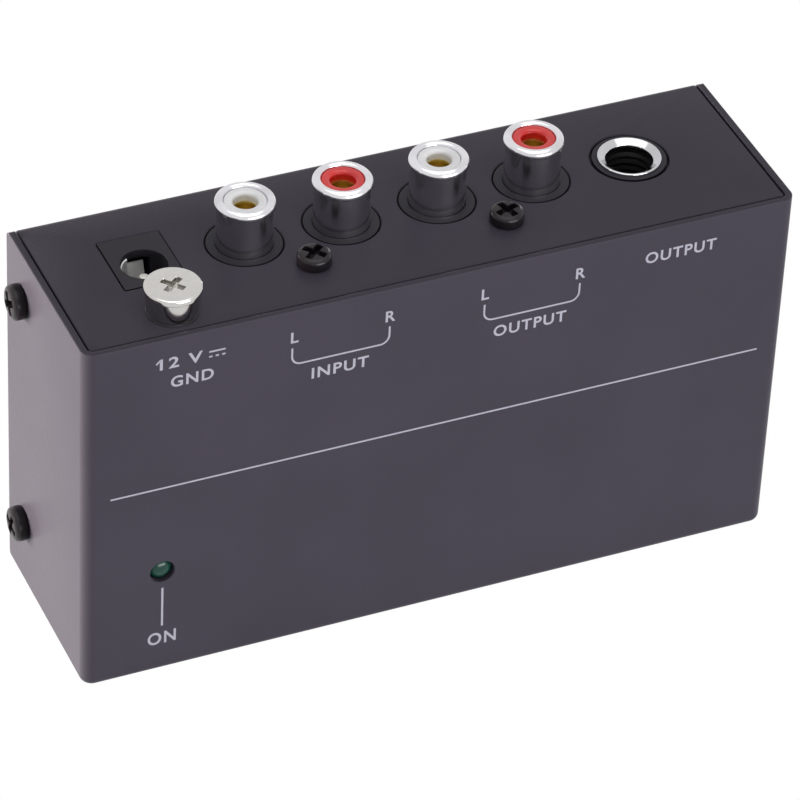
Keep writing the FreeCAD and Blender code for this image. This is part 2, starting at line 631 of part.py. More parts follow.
# Power lamp in the front, on two leads from the board, with a spacer tube round them
lamp_tip = size.lamp_drop - half_depth
dome = size.lamp_radius
lamp_length = size.lamp_length
dome_low = lamp_length - dome
dome_turns = [math.radians(angle) for angle in (60, 30)]
dome_points = [(dome * math.sin(turn), dome_low + dome * math.cos(turn)) for turn in dome_turns]
keep(turned("lamp", [(zero, zero), (size.lamp_flange, zero), (size.lamp_flange, size.lamp_flange_thick),
                     (dome, size.lamp_flange_thick), (dome, lamp_length - dome)] + dome_points
            + [(zero, lamp_length)], (size.lamp_x, lamp_tip + lamp_length, size.lamp_z), "-Y"), "lamp_lens")
lamp_back = lamp_tip + lamp_length
lead_half = size.lead_side / 2
leads = [box("lamp_lead", (size.lamp_x + offset - lead_half, lamp_back, size.lamp_z - lead_half),
             (size.lamp_x + offset + lead_half, board_face, size.lamp_z + lead_half))
         for offset in (-size.lead_pitch / 2, size.lead_pitch / 2)]
keep(group("lamp_lead_pair", leads), "lamp_leads")
lamp_tube = rod("lamp_tube", (size.lamp_x, lamp_back + 0.1, size.lamp_z), "Y", size.lamp_flange + 0.3,
                board_face - lamp_back - 0.1)
lead_places = (size.lamp_x - size.lead_pitch / 2, size.lamp_x + size.lead_pitch / 2)
lamp_bores = [rod("lamp_tube_bore", (x, lamp_back, size.lamp_z), "Y", size.lead_side * 0.8,
                  board_face - lamp_back + past) for x in lead_places]
keep(cut("lamp_tube_cut", lamp_tube, lamp_bores), "lamp_spacer")

# Electrolytic cans, standing on the board
def can(name, radius, tall, x, z):
    return turned(name, [(zero, zero), (radius, zero), (radius, tall), (zero, tall)],
                  (x, board_face, z), "-Y")


can_row = board_low + size.can_row_up
tall_can_step = size.tall_can_radius * 2 + size.can_gap
tall_cans = [can("tall_can", size.tall_can_radius, size.tall_can_height,
                 size.lamp_x + size.lamp_clear + tall_can_step * count, can_row) for count in range(3)]
keep(group("tall_cans", tall_cans), "filter_capacitors")
small_can_step = size.small_can_radius * 2 + size.can_gap * 0.7
small_can_row = can_row + size.tall_can_radius + size.small_can_radius * 2 + size.can_gap * 2
small_cans = [can("small_can", size.small_can_radius, size.small_can_height,
                  x_block + small_can_step * (count - 1.5), small_can_row)
              for x_block in block_x for count in range(4)]
keep(group("small_cans", small_cans), "coupling_capacitors")
film_row = panel_under - size.phono_block_length - size.film_below
films = [box("film", (x - size.film_long / 2, board_face - size.film_tall, film_row - size.film_wide / 2),
             (x + size.film_long / 2, board_face, film_row + size.film_wide / 2)) for x in phono_x]
keep(group("films", films), "film_capacitors")


def chip(name, x, z):
    """A dual in-line chip on its eight legs, square to the board."""
    chip_under = board_face - size.chip_standoff
    half_long = size.chip_long / 2
    half_wide = size.chip_wide / 2
    shapes = [box(name + "_body", (x - half_long, chip_under - size.chip_tall, z - half_wide),
                  (x + half_long, chip_under, z + half_wide))]
    leg_half = size.chip_leg / 2
    for side in (-1, 1):
        for count in range(4):
            leg_x = x + size.chip_pitch * (count - 1.5)
            leg_z = z + (half_wide + leg_half) * side
            shapes.append(box(name + "_leg",
                              (leg_x - leg_half, chip_under - size.chip_tall / 2, leg_z - leg_half),
                              (leg_x + leg_half, board_face, leg_z + leg_half)))
    return fuse(name, shapes)


chip_row = can_row
chip_step = size.chip_long + size.chip_gap
chips = [chip(f"chip_{count}", phono_x[2] - size.chip_gap + chip_step * count, chip_row)
         for count in range(2)]
keep(group("chips", chips), "amplifier_chips")


def resistor(name, x, z):
    """An axial resistor lying along X, its lead bent down to the board at both ends."""
    lift = board_face - size.resistor_lift
    half_span = size.resistor_span / 2
    half_wire = size.resistor_wire
    shapes = [rod(name + "_body", (x - size.resistor_long / 2, lift, z), "X", size.resistor_radius,
                  size.resistor_long),
              box(name + "_lead", (x - half_span - half_wire, lift - half_wire, z - half_wire),
                  (x + half_span + half_wire, lift + half_wire, z + half_wire))]
    for side in (-1, 1):
        leg_x = x + half_span * side
        shapes.append(box(name + "_leg", (leg_x - half_wire, lift - half_wire, z - half_wire),
                          (leg_x + half_wire, board_face, z + half_wire)))
    return fuse(name, shapes)


resistor_column = block_x[1] + size.phono_block_width / 2 + size.board_thick
resistor_step = size.resistor_span + size.resistor_gap
resistors = [resistor(f"resistor_{count}", resistor_column + resistor_step * (count // 4),
                      can_row + size.resistor_row * (count % 4)) for count in range(8)]
keep(group("resistors", resistors), "resistors")
regulator_x = size.power_x + power_half / 3
regulator_z = power_low - size.power_clear
regulator_reach = size.regulator_radius * 2
regulator_face = board_face - size.regulator_lift
regulator_round = rod("regulator_round", (regulator_x, regulator_face, regulator_z), "-Y",
                      size.regulator_radius, size.regulator_tall)
flat_z = regulator_z + size.regulator_radius * 0.55
regulator_flat = box("regulator_flat",
                     (regulator_x - regulator_reach, regulator_face - regulator_reach * 2, flat_z),
                     (regulator_x + regulator_reach, board_face, regulator_z + regulator_reach))
regulator_legs = [box("regulator_leg", (x - lead_half, regulator_face - lead_half, regulator_z - lead_half),
                      (x + lead_half, board_face, regulator_z + lead_half))
                  for x in (regulator_x - size.chip_pitch / 2, regulator_x, regulator_x + size.chip_pitch / 2)]
regulator_body = cut("regulator_body", regulator_round, [regulator_flat])
regulator = fuse("regulator_shape", [regulator_body] + regulator_legs)
keep(regulator, "voltage_regulator")

doc.recompute()
faults = [thing.Name for thing in doc.Objects if {"Invalid", "Error"} & set(thing.State)]
for label, piece in pieces.items():
    if piece.Shape.isNull() or not piece.Shape.isValid():
        faults.append(label)
if faults:
    raise SystemExit("Failed objects: " + ", ".join(faults))
os.makedirs("parts", exist_ok=True)
for label, piece in pieces.items():
    piece.Shape.exportStep(f"parts/{label}.step")
    bounds = piece.Shape.BoundBox
    print(f"{label:26s} solids {len(piece.Shape.Solids)} volume {piece.Shape.Volume:9.2f} "
          f"z {bounds.ZMin:6.2f}..{bounds.ZMax:6.2f}")
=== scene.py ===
import math

import bmesh
import bpy
import numpy as np
from mathutils import Matrix, Vector


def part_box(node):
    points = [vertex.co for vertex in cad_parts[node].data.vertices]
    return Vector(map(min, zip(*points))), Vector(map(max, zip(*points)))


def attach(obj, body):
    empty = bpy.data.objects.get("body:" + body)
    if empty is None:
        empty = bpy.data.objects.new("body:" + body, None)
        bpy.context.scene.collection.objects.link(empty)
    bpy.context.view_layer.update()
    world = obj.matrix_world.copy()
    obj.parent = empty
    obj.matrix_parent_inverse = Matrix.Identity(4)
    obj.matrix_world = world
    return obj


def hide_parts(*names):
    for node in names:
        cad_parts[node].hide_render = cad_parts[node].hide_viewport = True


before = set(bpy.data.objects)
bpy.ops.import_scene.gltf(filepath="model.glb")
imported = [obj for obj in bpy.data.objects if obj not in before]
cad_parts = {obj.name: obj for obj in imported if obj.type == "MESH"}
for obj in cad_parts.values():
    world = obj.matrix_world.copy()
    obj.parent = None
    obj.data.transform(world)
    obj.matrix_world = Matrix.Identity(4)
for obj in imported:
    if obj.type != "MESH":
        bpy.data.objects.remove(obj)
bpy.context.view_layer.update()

# The camera stands high on the left in front of the case and looks at it through a long lens. Its
# place, its roll and the lens were worked out from the case's straight edges.
MM = 0.001
VIEW_AZIMUTH = math.radians(-24.893)
VIEW_ELEVATION = math.radians(38.182)
VIEW_ROLL = math.radians(2.905)
VIEW_DISTANCE = 713.707 * MM
VIEW_RIGHT = 0.580 * MM
VIEW_UP = 19.704 * MM
VIEW_FOCAL_PIXELS = 5043.478
FRAME_PIXELS = 800
SENSOR = 36.0
NEAREST_SEEN = 0.01


def aim_camera():
    """The camera looks back along its line of sight; its roll turns right and up about that line."""
    back = Vector((math.sin(VIEW_AZIMUTH) * math.cos(VIEW_ELEVATION),
                   -math.cos(VIEW_AZIMUTH) * math.cos(VIEW_ELEVATION), math.sin(VIEW_ELEVATION)))
    level = Vector((math.cos(VIEW_AZIMUTH), math.sin(VIEW_AZIMUTH), 0))
    upright = back.cross(level)
    right = math.cos(VIEW_ROLL) * level + math.sin(VIEW_ROLL) * upright
    up = -math.sin(VIEW_ROLL) * level + math.cos(VIEW_ROLL) * upright
    place = level * VIEW_RIGHT + upright * VIEW_UP + back * VIEW_DISTANCE
    camera = bpy.data.objects.new("photo_camera", bpy.data.cameras.new("photo_camera"))
    bpy.context.scene.collection.objects.link(camera)
    turn = Matrix((right, up, back)).transposed().to_4x4()
    camera.matrix_world = Matrix.Translation(place) @ turn
    camera.data.sensor_width = SENSOR
    camera.data.lens = VIEW_FOCAL_PIXELS * SENSOR / FRAME_PIXELS
    camera.data.clip_start = NEAREST_SEEN
    bpy.context.scene.camera = camera


aim_camera()
bpy.context.scene.view_settings.view_transform = "Standard"

# Case cover: one steel sheet folded into the lettered front, both sides and the face it stands on,
# then powder coated dark grey. Its cut edge shows all round the jack panel.
MERGE = 0.0004
SMOOTH_ANGLE = 35


class Channel:
    """A value that varies over a surface. Arithmetic on it adds Math nodes to its material."""

    def __init__(self, finish, socket):
        self.finish = finish
        self.socket = socket

    def _with(self, operation, *values):
        return self.finish.node("ShaderNodeMath", {"operation": operation}, dict(enumerate(values)))

    def __add__(self, other):
        return self._with("ADD", self, other)

    def __mul__(self, other):
        return self._with("MULTIPLY", self, other)

    def between(self, low, high):
        """0 below low, 1 above high, smooth in between."""
        return self.finish.node("ShaderNodeMapRange", {"interpolation_type": "SMOOTHSTEP"},
                                {"Value": self, "From Min": low, "From Max": high})

    __radd__ = __add__
    __rmul__ = __mul__


class Finish:
    """A procedural material. Constants are set on the shader itself; channels feed only what varies."""

    def __init__(self, name, **constants):
        self.material = bpy.data.materials.new(name)
        self.material.use_nodes = True
        self.tree = self.material.node_tree
        self.shader = self.tree.nodes["Principled BSDF"]
        for key, value in constants.items():
            self.shader.inputs[key.replace("_", " ").title().replace("Ior", "IOR")].default_value = value
        self.place = self.node("ShaderNodeTexCoord", {}, {}, "Object")

    def node(self, kind, settings, inputs, output=0):
        made = self.tree.nodes.new(kind)
        for key, value in settings.items():
            setattr(made, key, value)
        for key, value in inputs.items():
            if isinstance(value, Channel):
                self.tree.links.new(value.socket, made.inputs[key])
            else:
                made.inputs[key].default_value = value
        return Channel(self, made.outputs[output])

    def noise(self, grain, detail=2.0):
        """Cloudy noise whose blotches are about one grain across, in metres."""
        return self.node("ShaderNodeTexNoise", {},
                         {"Vector": self.place, "Scale": 1 / grain, "Detail": detail})

    def blend(self, amount, first, second):
        return self.node("ShaderNodeMix", {"data_type": "RGBA"}, {0: amount, 6: first, 7: second}, 2)

    def feed(self, name, channel):
        self.tree.links.new(channel.socket, self.shader.inputs[name])

    def drift(self, grain, first, second, detail=2.0, edges=None):
        """Lets the colour drift from the first to the second by cloudy noise, all through or between
        two of its values, and gives that noise back."""
        cloud = self.noise(grain, detail)
        amount = cloud.between(*edges) if edges else cloud
        self.feed("Base Color", self.blend(amount, first + (1,), second + (1,)))
        return cloud

    def bump(self, height, depth):
        """Tilts the surface by a height channel, depth metres from its 0 to its 1."""
        self.feed("Normal", self.node("ShaderNodeBump", {}, {"Height": height, "Strength": 1.0,
                                                              "Distance": depth}))


def shade(mesh):
    """Smooth shading inside curved stretches, sharp across edges steeper than the angle."""
    mesh.polygons.foreach_set("use_smooth", [True] * len(mesh.polygons))
    mesh.set_sharp_from_angle(angle=math.radians(SMOOTH_ANGLE))


def closed_mesh(name, points, faces):
    """A mesh from points in millimetres and faces, with poles merged and every face looking outward."""
    mesh = bpy.data.meshes.new(name)
    corners = (np.asarray(points, float) * MM).tolist()
    mesh.from_pydata(corners, [], [list(map(int, face)) for face in faces])
    shell = bmesh.new()
    shell.from_mesh(mesh)
    bmesh.ops.remove_doubles(shell, verts=shell.verts, dist=MERGE * MM)
    bmesh.ops.recalc_face_normals(shell, faces=shell.faces)
    shell.to_mesh(mesh)
    shell.free()
    return mesh


def piece(name, points, faces, finish, body="case", replaces=(), slot=None):
    """A finished piece from points in millimetres and faces, riding on its body."""
    mesh = closed_mesh(name, points, faces)
    shade(mesh)
    made = bpy.data.objects.new(name, mesh)
    bpy.context.scene.collection.objects.link(made)
    mesh.materials.append(finish.material)
    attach(made, body)
    if replaces:
        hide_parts(*replaces)
    return made


def grid_faces(rows, columns, closed_columns=True, closed_rows=False):
    """Quads over a grid of points numbered row by row, wrapped where it is closed."""
    row = np.arange(rows if closed_rows else rows - 1)[:, None]
    column = np.arange(columns if closed_columns else columns - 1)[None, :]
    after_row = (row + 1) % rows
    after_column = (column + 1) % columns
    quads = [row * columns + column, row * columns + after_column,
             after_row * columns + after_column, after_row * columns + column]
    return np.stack([q + 0 * (row + column) for q in quads], -1).reshape(-1, 4)


def capped_faces(rows, columns):
    """The faces of a grid closed round its columns, with one more over its first row and its last."""
    last = (rows - 1) * columns
    return ([tuple(face) for face in grid_faces(rows, columns)]
            + [tuple(range(columns))[::-1], tuple(range(last, last + columns))])


def joined(parts):
    """One set of points and faces from several: each part's faces count on from the points before."""
    points, faces, start = [], [], 0
    for own_points, own_faces in parts:
        points.append(own_points)
        faces.extend(tuple(index + start for index in face) for face in own_faces)
        start += len(own_points)
    return np.concatenate(points), faces


def rounded_line(corners, radii, steps=5, closed=True):
    """An outline with each corner replaced by a tangent arc: setback is radius times the tangent of
    half the turn, and the arc's points go round its centre by equal angles."""
    corners = np.asarray(corners, float)
    count = len(corners)
    points = []
    for index in range(count):
        radius = radii[index]
        if radius == 0 or (not closed and index in (0, count - 1)):
            points.append(corners[index])
            continue
        arriving = corners[index] - corners[index - 1]
        leaving = corners[(index + 1) % count] - corners[index]
        arriving = arriving / np.linalg.norm(arriving)
        leaving = leaving / np.linalg.norm(leaving)
        turn = math.atan2(arriving[0] * leaving[1] - arriving[1] * leaving[0], arriving @ leaving)
        setback = radius * math.tan(abs(turn) / 2)
        side = np.array([-arriving[1], arriving[0]]) * math.copysign(1, turn)
        start = corners[index] - arriving * setback
        centre = start + side * radius
        angles = np.linspace(0, turn, steps)[:, None]
        spoke = start - centre
        across = np.array([-spoke[1], spoke[0]])
        points.extend(centre + spoke * np.cos(angles) + across * np.sin(angles))
    return np.array(points)


TO_AXIS = {"Z": ((1, 0, 0), (0, 1, 0), (0, 0, 1)), "-X": ((0, 1, 0), (0, 0, 1), (-1, 0, 0)),
           "X": ((0, 1, 0), (0, 0, 1), (1, 0, 0)), "-Y": ((1, 0, 0), (0, 0, 1), (0, -1, 0))}


def stand(points, where, axis="Z"):
    """Turns points so that their own Z runs along the named axis, and puts them in place."""
    return points @ np.array(TO_AXIS[axis], float) + np.asarray(where, float)


def lathe(section, sides=96):
    """A section of radius and height swept round Z: x is radius times cosine, y times sine. It starts
    and ends on the axis, or else is a ring's closed section."""
    section = np.asarray(section, float)
    solid = section[0, 0] == 0 and section[-1, 0] == 0
    angle = np.linspace(0, 2 * math.pi, sides, endpoint=False)[None, :]
    radius = section[:, 0][:, None]
    height = section[:, 1][:, None] + 0 * angle
    points = np.stack([radius * np.cos(angle), radius * np.sin(angle), height], -1).reshape(-1, 3)
    return points, grid_faces(len(section), sides, closed_rows=not solid)


def node_middle(node):
    """Middle of a CAD node's box and its lowest and highest corners, in millimetres."""
    low, high = (np.array(corner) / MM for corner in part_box(node))
    return (low + high) / 2, low, high


SHEET = 1.0
SIDE_BEND = 1.8
BOTTOM_BEND = 1.2
LEAST_BEND = 0.05
CUT_EDGE_ROUND = 0.16
BEND_STEPS = 12
ROUND_STEPS = 5
COAT_DRIFT = 0.04
COAT_SKIN = 0.000022
_, cover_low, cover_high = node_middle("cover_shell")


def powder_coat(name, grey, gloss):
    """Powder coat: a dark grey that drifts a little lighter and darker under a very fine orange-peel
    skin. Its roughness is the gloss, raised and lowered by the drift and by the skin."""
    finish = Finish(name, roughness=gloss, specular_ior_level=0.08)
    light, dark = (tuple(part * (1 + shift) for part in grey) for shift in (COAT_DRIFT, -COAT_DRIFT))
    cloud = finish.drift(0.018, dark, light, 3.0, (0.3, 0.7))
    skin = finish.noise(0.00042)
    finish.feed("Roughness", cloud * 0.05 + skin * 0.06 + (gloss - 0.055))
    finish.bump(skin, COAT_SKIN)
    return finish


case_finish = powder_coat("dark_powder_coat", (0.0495, 0.0440, 0.0600), 0.32)


def folded_path(half_width, front, back, bend, inward):
    """Plan of the three upright walls: from the left back corner round both front bends to the right
    back corner, all moved inward by one distance, which shortens each bend's radius by as much."""
    x = half_width - inward
    corners = [(-x, back), (-x, front + inward), (x, front + inward), (x, back)]
    radius = max(bend - inward, LEAST_BEND)
    return rounded_line(corners, [0, radius, radius, 0], BEND_STEPS, closed=False)


def cover_walls():
    """Rows of points, each the plan path at one depth into the sheet and one height: up the outer
    face, over the rounded cut edge, and down the inner face; the fold at the foot is a quarter circle."""
    half = cover_high[0]
    front, back, foot, rim = cover_low[1], cover_high[1], cover_low[2], cover_high[2]
    fold = np.linspace(math.pi / 2, 0, BEND_STEPS)
    rim_round = np.linspace(0, math.pi / 2, ROUND_STEPS)
    rows = [(BOTTOM_BEND * (1 - math.cos(a)), foot + BOTTOM_BEND * (1 - math.sin(a))) for a in fold]
    rows += [(CUT_EDGE_ROUND * (1 - math.cos(a)), rim - CUT_EDGE_ROUND * (1 - math.sin(a)))
             for a in rim_round]
    rows += [(SHEET - CUT_EDGE_ROUND * (1 - math.sin(a)), rim - CUT_EDGE_ROUND * (1 - math.cos(a)))
             for a in rim_round]
    rows.append((SHEET, foot + SHEET))
    paths = [folded_path(half, front, back, SIDE_BEND, depth) for depth, _ in rows]
    points = [np.column_stack([path, np.full(len(path), height)])
              for path, (_, height) in zip(paths, rows)]
    return np.concatenate(points), len(rows), len(paths[0])


def closed_cover():
    """The wall grid, closed by the bottom's outer and inner faces and by the edge at the back."""
    points, rows, columns = cover_walls()
    faces = [face[::-1] for face in grid_faces(rows, columns, closed_columns=False)]
    under = list(range(columns))
    inside = [(rows - 1) * columns + column for column in range(columns)]
    faces.append(under[::-1])
    faces.append(inside)
    left = [row * columns for row in range(rows)]
    right = [row * columns + columns - 1 for row in range(rows)]
    faces.append(left + right[::-1])
    return points, faces


def carve(made, cutters):
    """Takes cutters out of a piece with exact booleans, then keeps the carved mesh."""
    for cutter in cutters:
        modifier = made.modifiers.new("cut", "BOOLEAN")
        modifier.object = cutter
        modifier.solver = "EXACT"
    carved = bpy.data.meshes.new_from_object(made.evaluated_get(bpy.context.evaluated_depsgraph_get()))
    made.modifiers.clear()
    made.data = carved
    shade(carved)
    for cutter in cutters:
        bpy.data.objects.remove(cutter)


def cutter(points, faces):
    """A closed shape that is only used to carve another piece."""
    made = bpy.data.objects.new("cutter", closed_mesh("cutter", points, faces))
    bpy.context.scene.collection.objects.link(made)
    return made


PAST = 1
COUNTERSINK = 0.12


def hole_cutter(where, axis, radius, depth, edge=COUNTERSINK, sides=72):
    """A drill with a small countersink: straight below the surface, flaring by the edge at it, and
    reaching past it."""
    section = [(0, -depth), (radius, -depth), (radius, -edge), (radius + edge, 0), (radius + edge, PAST),
               (0, PAST)]
    points, faces = lathe(section, sides)
    return cutter(stand(points, where, axis), faces)


def corner_cutter(radius, height, up):
    """What a rounded back corner leaves out: the corner's square less a quarter disc, along X."""
    angles = np.linspace(-math.pi / 2, 0, BEND_STEPS)
    back = cover_high[1]
    arc = [(back - radius + radius * math.cos(a), radius + radius * math.sin(a)) for a in angles]
    ring = arc + [(back + PAST, radius), (back + PAST, -PAST), (back - radius, -PAST)]
    rows = [[(x, y, height + up * z) for y, z in ring] for x in (cover_low[0] - PAST, cover_high[0] + PAST)]
    count = len(ring)
    faces = [tuple(face) for face in grid_faces(2, count)]
    faces += [tuple(range(count)), tuple(range(count, 2 * count))]
    return cutter(np.concatenate(rows), faces)


LOW_CORNER = 1.9
HIGH_CORNER = 1.0
LAMP_HOLE = 1.75
SCREW_CLEARANCE = 1.7
SIDE_SCREW_HEAD = 2.5
cover_points, cover_faces = closed_cover()
cover = piece("case_cover", cover_points, cover_faces, case_finish, replaces=["cover_shell"],
              slot="case_paint")
lamp_middle, lamp_low, lamp_high = node_middle("lamp_lens")
side_screw_middle, _, side_screw_high = node_middle("cover_screws_left")
side_high_z = side_screw_high[2] - SIDE_SCREW_HEAD
side_low_z = 2 * side_screw_middle[2] - side_screw_high[2] + SIDE_SCREW_HEAD
lamp_hole_place = (lamp_middle[0], cover_low[1], lamp_middle[2])
cover_cutters = [hole_cutter(lamp_hole_place, "-Y", LAMP_HOLE, SHEET + PAST)]
for height in (side_high_z, side_low_z):
    for side, axis in ((cover_low[0], "-X"), (cover_high[0], "X")):
        screw_place = (side, side_screw_middle[1], height)
        cover_cutters.append(hole_cutter(screw_place, axis, SCREW_CLEARANCE, SHEET + PAST))
cover_cutters += [corner_cutter(LOW_CORNER, cover_low[2], 1), corner_cutter(HIGH_CORNER, cover_high[2], -1)]
carve(cover, cover_cutters)

# Chassis tray: the jack panel folded at the back into the base plate, in the same powder coat, with
# punched holes for every socket. The panel sits just below the cover's edge with a thin gap round it.
PANEL_EDGE_ROUND = 0.18
PANEL_FOLD = 1.1
INNER_FOLD = 0.1
_, tray_low, tray_high = node_middle("chassis_tray")
panel_top = tray_high[2]


def tray_sheet():
    """An L section of rounded corners, the same at each X except near the ends, where it shrinks
    by a quarter circle so that the end edges are rounded too."""
    front, back, foot = tray_low[1], tray_high[1], tray_low[2]
    edge = PANEL_EDGE_ROUND
    corners = [(front, panel_top), (front, panel_top - SHEET), (back - SHEET, panel_top - SHEET),
               (back - SHEET, foot), (back, foot), (back, panel_top)]
    section = rounded_line(corners, [edge, edge, INNER_FOLD, edge, edge, PANEL_FOLD], 6)
    stations = [(-tray_high[0] + edge * (1 - math.sin(a)), edge * (1 - math.cos(a)))
                for a in np.linspace(math.pi / 2, 0, ROUND_STEPS)]
    stations += [(-x, shrink) for x, shrink in stations[::-1]]
    edges = np.roll(section, -1, 0) - np.roll(section, 1, 0)
    normal = np.stack([-edges[:, 1], edges[:, 0]], -1)
    normal /= np.linalg.norm(normal, axis=1)[:, None]
    rows = [np.column_stack([np.full(len(section), x), section + normal * shrink]) for x, shrink in stations]
    return np.concatenate(rows), capped_faces(len(rows), len(section))


tray_points, tray_faces = tray_sheet()
tray = piece("jack_panel", tray_points, tray_faces, case_finish, replaces=["chassis_tray"],
             slot="case_paint")
PHONO_HOLE = 5.4
PHONE_HOLE = 5.5
GROUND_HOLE = 2.15
POWER_GAP = 0.15
POWER_CORNER = 0.35
PANEL_COUNTERSINK = 0.14
PUNCH_DEPTH = SHEET + 0.5
shell_names = ["input_left", "input_right", "output_left", "output_right"]
shell_places = [node_middle(f"{name}_shell")[0] for name in shell_names]
ferrule_middle, _, ferrule_high = node_middle("phone_jack_ferrule")
_, power_low, power_high = node_middle("power_socket_housing")
ground_middle, _, ground_high = node_middle("ground_screw")
panel_holes = [(place, PHONO_HOLE) for place in shell_places]
panel_holes += [(ferrule_middle, PHONE_HOLE), (ground_middle, GROUND_HOLE)]
panel_cutters = [hole_cutter((place[0], place[1], panel_top), "Z", radius, PUNCH_DEPTH,
                             PANEL_COUNTERSINK, 96) for place, radius in panel_holes]


def square_cutter():
    """A square punch with a flare at the surface: three rounded rectangles one above the other."""
    rows = []
    for height, grow in ((-PUNCH_DEPTH, 0), (-COUNTERSINK, 0), (0, COUNTERSINK), (PAST, COUNTERSINK)):
        low = power_low[:2] - POWER_GAP - grow
        high = power_high[:2] + POWER_GAP + grow
        outline = rounded_line([(low[0], low[1]), (high[0], low[1]), (high[0], high[1]), (low[0], high[1])],
                               [POWER_CORNER] * 4, 4)
        rows.append(np.column_stack([outline, np.full(len(outline), panel_top + height)]))
    return cutter(np.concatenate(rows), capped_faces(len(rows), len(rows[0])))


panel_cutters.append(square_cutter())
carve(tray, panel_cutters)

# Flanges down the sides of the tray: short folded ears with the threads for the side screws.
# Nothing of them shows outside, so they are two plain sheets inside the cover.
FLANGE_DEPTH = 11.0
FLANGE_LOW = 5.0
FLANGE_HIGH = 53.0
FLANGE_CORNER = 1.5
for flange_name, side in (("flange_left", -1), ("flange_right", 1)):
    outer = side * tray_high[0]
    near, deep = tray_high[1] - SHEET, tray_high[1] - FLANGE_DEPTH
    flange = rounded_line([(deep, FLANGE_LOW), (near, FLANGE_LOW), (near, FLANGE_HIGH), (deep, FLANGE_HIGH)],
                          [FLANGE_CORNER, 0, 0, FLANGE_CORNER], 6)
    rows = [np.column_stack([np.full(len(flange), x), flange])
            for x in sorted((outer, outer - side * SHEET))]
    piece(flange_name, np.concatenate(rows), capped_faces(2, len(flange)), case_finish, slot="case_paint")

# Pan head screws, black oxide: domed heads with a tapered cross recess, one pair on each side of the
# case and one between the phono sockets of each pair, each left at its own angle.
SCREW_ROWS = 44
SCREW_SIDES = 176
RECESS_WALL = 0.16
CENTRE_RING = 0.012
black_oxide = Finish("black_oxide", roughness=0.22, specular_ior_level=0.28)
smear = black_oxide.drift(0.0009, (0.006, 0.005, 0.006), (0.012, 0.009, 0.012))
black_oxide.feed("Roughness", smear * 0.16 + 0.24)


def cross_depth(x, y, half_width, half_span, wall):
    """0 outside the cross and 1 well inside it: the larger of its two bars, each a box whose edge
    rises by a smooth step over the wall's width."""
    def rise(distance):
        t = np.clip(distance / wall, 0, 1)
        return t * t * (3 - 2 * t)

    def bar(u, v):
        return rise(half_span - np.abs(u)) * rise(half_width - np.abs(v))

    return np.maximum(bar(x, y), bar(y, x))


def recessed_head(profile, recess, spin, rows=SCREW_ROWS, sides=SCREW_SIDES):
    """A head turned from its profile, whose face sinks by the recess: rings at even steps of radius
    over the recess take their height from the profile, the rest are the profile's own, and the
    height drops by depth times the cross."""
    profile = np.asarray(profile, float)
    half_width, half_span, depth = recess
    run = np.concatenate([[0], np.cumsum(np.linalg.norm(np.diff(profile, axis=0), axis=1))])
    crown = slice(0, np.argmax(profile[:, 0]) + 1)
    crown_radius, crown_height = profile[crown].T
    inner = np.linspace(CENTRE_RING, half_span + RECESS_WALL, rows)
    top_of = np.interp(inner, crown_radius, crown_height)
    beyond = profile[run > np.interp(half_span + RECESS_WALL, crown_radius, run[crown])]
    radius = np.concatenate([inner, beyond[:, 0]])
    height = np.concatenate([top_of, beyond[:, 1]])
    angle = np.linspace(0, 2 * math.pi, sides, endpoint=False)[None, :]
    x = radius[:, None] * np.cos(angle)
    y = radius[:, None] * np.sin(angle)
    turned_x = x * math.cos(spin) + y * math.sin(spin)
    turned_y = y * math.cos(spin) - x * math.sin(spin)
    z = height[:, None] - depth * cross_depth(turned_x, turned_y, half_width, half_span, RECESS_WALL)
    z[len(inner):] = height[len(inner):, None]
    points = np.stack([x, y, z], -1).reshape(-1, 3)
    return points, [face[::-1] for face in capped_faces(len(radius), sides)]


CROWN_POWER = 0.6
CROWN_FALL = 0.42
FALL_POWER = 1.5
EDGE_SHARE = 0.12
SEAT_BEVEL = 0.1


def pan_profile(head_radius, height, shank_radius, shank_length):
    """From the crown down over the domed edge, across the seat and down the shank. On the crown the
    radius is the head's times a power of the sine, and the height falls by a share of the head's
    times a power of 1 less the cosine."""
    crown = np.array([(head_radius * math.sin(a) ** CROWN_POWER,
                       height - height * CROWN_FALL * (1 - math.cos(a)) ** FALL_POWER)
                      for a in np.linspace(0.0, math.pi / 2, 14)])
    rest = [(head_radius, height * EDGE_SHARE), (head_radius - SEAT_BEVEL, 0), (shank_radius, 0),
            (shank_radius, -shank_length)]
    return np.concatenate([crown, rest])


def pan_screws(name, node, places, axis, spins, sizes):
    """One piece from several like screws on one node."""
    heads = [recessed_head(pan_profile(*sizes), PAN_RECESS, spin) for spin in spins]
    points, faces = joined([(stand(own_points, place, axis), own_faces)
                            for (own_points, own_faces), place in zip(heads, places)])
    piece(name, points, faces, black_oxide, replaces=[node], slot="black_screw")


PAN_RECESS = (0.52, 1.72, 1.0)
PAN_HEIGHT = 1.9
SEAT_GAP = 0.05
SIDE_SHANK = (1.5, 4.0)
JACK_SHANK = (1.3, 7.0)
JACK_SCREW_HEAD = 2.375
for name, seat_x, axis, spins in (("side_screws_left", cover_low[0] - SEAT_GAP, "-X", (0.35, 1.05)),
                                  ("side_screws_right", cover_high[0] + SEAT_GAP, "X", (0.8, 0.2))):
    places = [(seat_x, side_screw_middle[1], z) for z in (side_low_z, side_high_z)]
    pan_screws(name, name.replace("side_screws", "cover_screws"), places, axis, spins,
               (SIDE_SCREW_HEAD, PAN_HEIGHT, *SIDE_SHANK))
jack_screw_middle, jack_screw_low, jack_screw_high = node_middle("jack_screws")
jack_places = [(x, jack_screw_middle[1], panel_top + SEAT_GAP)
               for x in (jack_screw_low[0] + JACK_SCREW_HEAD, jack_screw_high[0] - JACK_SCREW_HEAD)]
